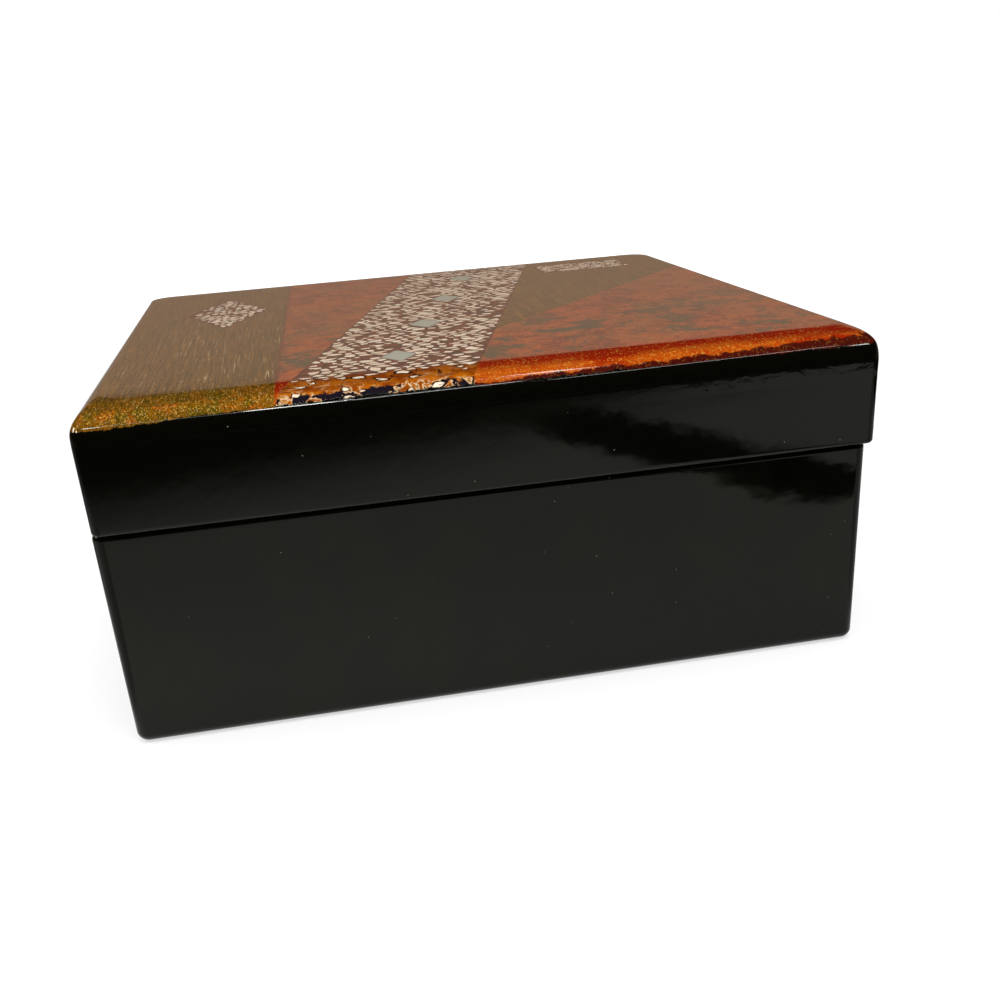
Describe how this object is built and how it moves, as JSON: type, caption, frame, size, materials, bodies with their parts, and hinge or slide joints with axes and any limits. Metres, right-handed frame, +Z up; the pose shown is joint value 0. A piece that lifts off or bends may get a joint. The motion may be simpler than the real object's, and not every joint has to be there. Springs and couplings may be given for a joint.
{
  "type": "jewelry organizer box",
  "caption": "Square lacquered jewelry box with a lift-off lid inlaid with crushed eggshell, a divided lift-out tray with ring rolls, and a divided velvet-lined well.",
  "frame": {"origin": "centre of the base's underside, on the surface that the box stands on", "axes": "+Z up, the way the lid lifts off; -Y is the front that the picture shows; +X to the right seen from the front"},
  "size_m": [0.1975, 0.2, 0.0854],
  "materials": {
    "black_lacquer": "high gloss black lacquer on wood, rubbed soft at the edges",
    "decorated_lacquer": "high gloss lacquer, mottled red and brushed olive gold, worn through to black at the rim",
    "eggshell": "crushed eggshell chips set in red-brown lacquer, polished flush",
    "grey_shell": "grey-green shell chips polished flush",
    "inner_lacquer": "satin black lacquer",
    "red_lacquer": "satin deep red lacquer",
    "velvet": "short-pile velvet"
  },
  "bodies": {
    "base": {"base_front_wall": "black_lacquer", "base_back_wall": "black_lacquer", "base_left_wall": "black_lacquer", "base_right_wall": "black_lacquer", "base_floor_panel": "black_lacquer", "liner_front": "inner_lacquer", "liner_back": "inner_lacquer", "liner_left": "inner_lacquer", "liner_right": "inner_lacquer", "well_divider_lengthwise": "inner_lacquer", "well_divider_crosswise": "inner_lacquer", "well_pad_front_left": "velvet", "well_pad_front_right": "velvet", "well_pad_back_left": "velvet", "well_pad_back_right": "velvet"},
    "tray": {"tray_floor": "red_lacquer", "tray_front_wall": "red_lacquer", "tray_back_wall": "red_lacquer", "tray_left_wall": "red_lacquer", "tray_right_wall": "red_lacquer", "tray_middle_divider": "red_lacquer", "tray_cross_divider_front": "red_lacquer", "tray_cross_divider_back": "red_lacquer", "tray_pad_front_right": "velvet", "tray_pad_middle_left": "velvet", "tray_pad_middle_right": "velvet", "tray_pad_back_left": "velvet", "tray_pad_back_right": "velvet", "ring_roll_1": "velvet", "ring_roll_2": "velvet", "ring_roll_3": "velvet", "ring_roll_4": "velvet"},
    "lid": {"lid_front_wall": "black_lacquer", "lid_back_wall": "black_lacquer", "lid_left_wall": "black_lacquer", "lid_right_wall": "black_lacquer", "lid_top_panel": "decorated_lacquer", "lid_lining": "velvet", "eggshell_band": "eggshell", "eggshell_diamond": "eggshell", "eggshell_bar": "eggshell", "band_lozenge_1": "grey_shell", "band_lozenge_2": "grey_shell", "band_lozenge_3": "grey_shell", "band_lozenge_4": "grey_shell"}
  },
  "joints": [
    {"name": "lid_lift", "type": "slide", "parent": "base", "child": "lid", "axis": [0, 0, 1], "range_m": [0, 0.12]},
    {"name": "tray_lift", "type": "slide", "parent": "base", "child": "tray", "axis": [0, 0, 1], "range_m": [0, 0.06]}
  ],
  "couplings": [
    {"joint": "tray_lift", "follows": "lid_lift", "ratio": 0.5}
  ]
}
